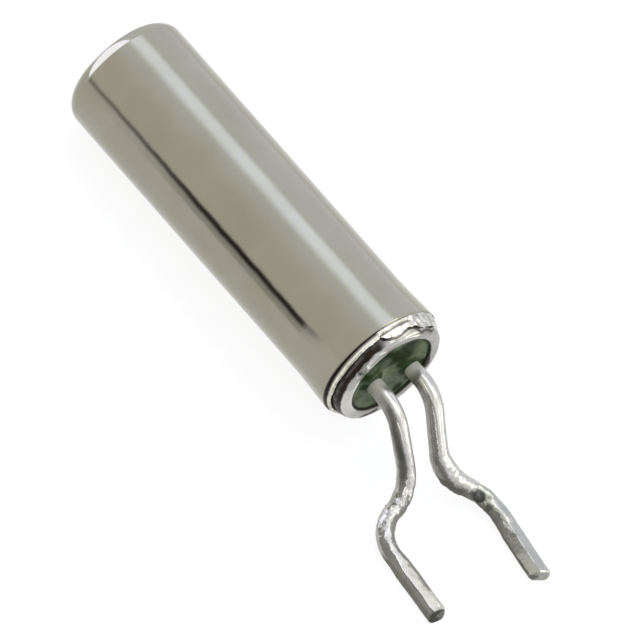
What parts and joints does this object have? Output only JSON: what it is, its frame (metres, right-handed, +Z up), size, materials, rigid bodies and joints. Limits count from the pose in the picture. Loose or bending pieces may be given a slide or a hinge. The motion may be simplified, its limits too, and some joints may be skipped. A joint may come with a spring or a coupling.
{
  "type": "quartz crystal resonator",
  "caption": "Small metal cylinder with a glass-sealed base and wire leads bent into flat feet, holding a quartz tuning fork that times a circuit.",
  "frame": {"origin": "on the board, under the middle of the part's box", "axes": "+X along the can towards the leads, +Z up from the board"},
  "size_m": [0.0094, 0.0022, 0.0023],
  "materials": {
    "can_metal": "satin",
    "ring_metal": "gloss",
    "solder": "gloss",
    "seal_glass": "gloss",
    "lead_tin": "satin",
    "quartz": "gloss",
    "gold_film": "gloss",
    "weight_film": "gloss"
  },
  "bodies": {
    "root": {"can": "can_metal", "seal_solder": "solder", "base_ring": "ring_metal", "glass_seal": "seal_glass", "lead_left": "lead_tin", "lead_right": "lead_tin", "tuning_fork": "quartz", "electrode_left": "gold_film", "electrode_right": "gold_film", "tip_weights": "weight_film", "solder_left": "solder", "solder_right": "solder"}
  },
  "joints": []
}
